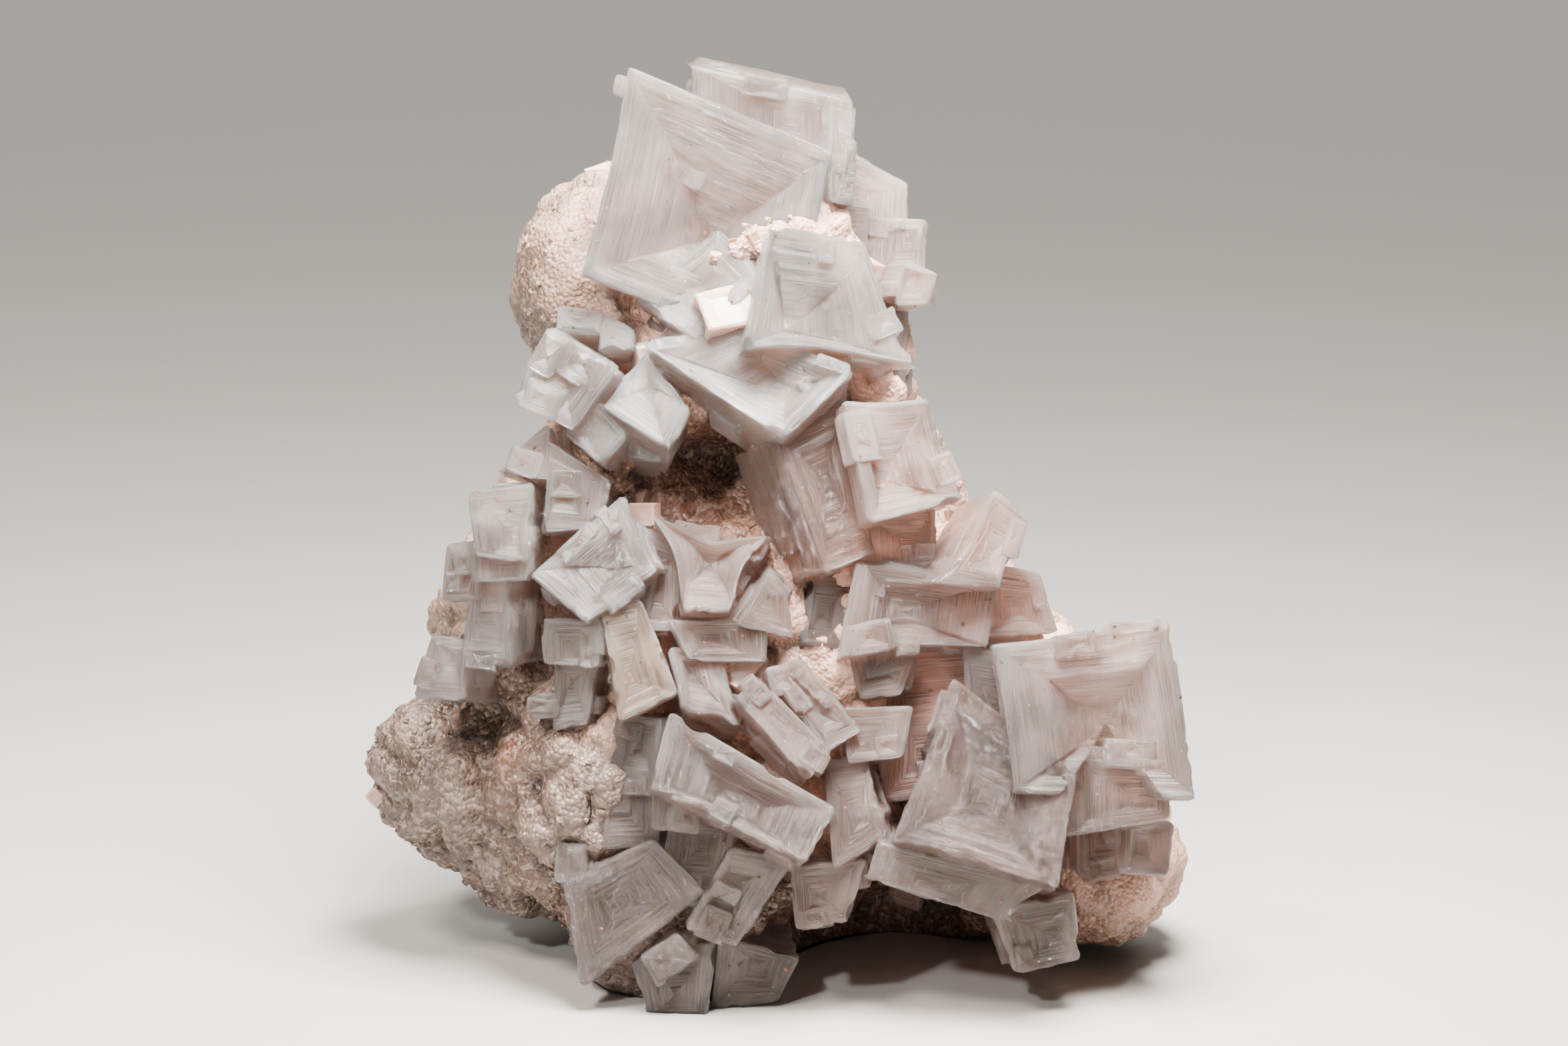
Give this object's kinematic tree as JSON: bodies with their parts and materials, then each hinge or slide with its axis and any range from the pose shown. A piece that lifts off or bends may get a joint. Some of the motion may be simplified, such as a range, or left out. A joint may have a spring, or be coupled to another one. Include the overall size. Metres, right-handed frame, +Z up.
{
  "type": "halite crystal cluster",
  "caption": "Hand specimen of intergrown hopper halite crystals, frosty white to pale pink with stepped hollow faces, on a lumpy tan salt matrix with a flat cut base.",
  "frame": {"origin": "on the flat cut base, under the middle of the specimen", "axes": "+Z up, the way it stands; -Y towards the side with the large crystals; +X to that side's right"},
  "size_m": [0.0926, 0.0613, 0.1002],
  "materials": {
    "frosty_halite": "frosted, translucent, finely striated",
    "blush_halite": "frosted, translucent, pale pink, finely striated",
    "honey_halite": "frosted, translucent, yellowish",
    "salt_matrix": "rough, granular, tan to grey"
  },
  "bodies": {
    "root": {"matrix": "salt_matrix", "crown_crystals": "frosty_halite", "upper_front_crystals": "frosty_halite", "bar_hopper": "frosty_halite", "yellow_block": "honey_halite", "big_right_hopper": "frosty_halite", "right_middle_crystals": "blush_halite", "lower_right_hopper": "frosty_halite", "horn_crystals": "blush_halite", "left_clear_crystal": "frosty_halite", "left_corner_crystals": "frosty_halite", "upper_left_crystals": "frosty_halite", "peach_slabs": "blush_halite", "bottom_crystals": "frosty_halite", "foot_crystals": "frosty_halite", "centre_crystals": "blush_halite", "middle_blocks": "blush_halite", "upper_right_druse": "blush_halite"}
  },
  "joints": []
}
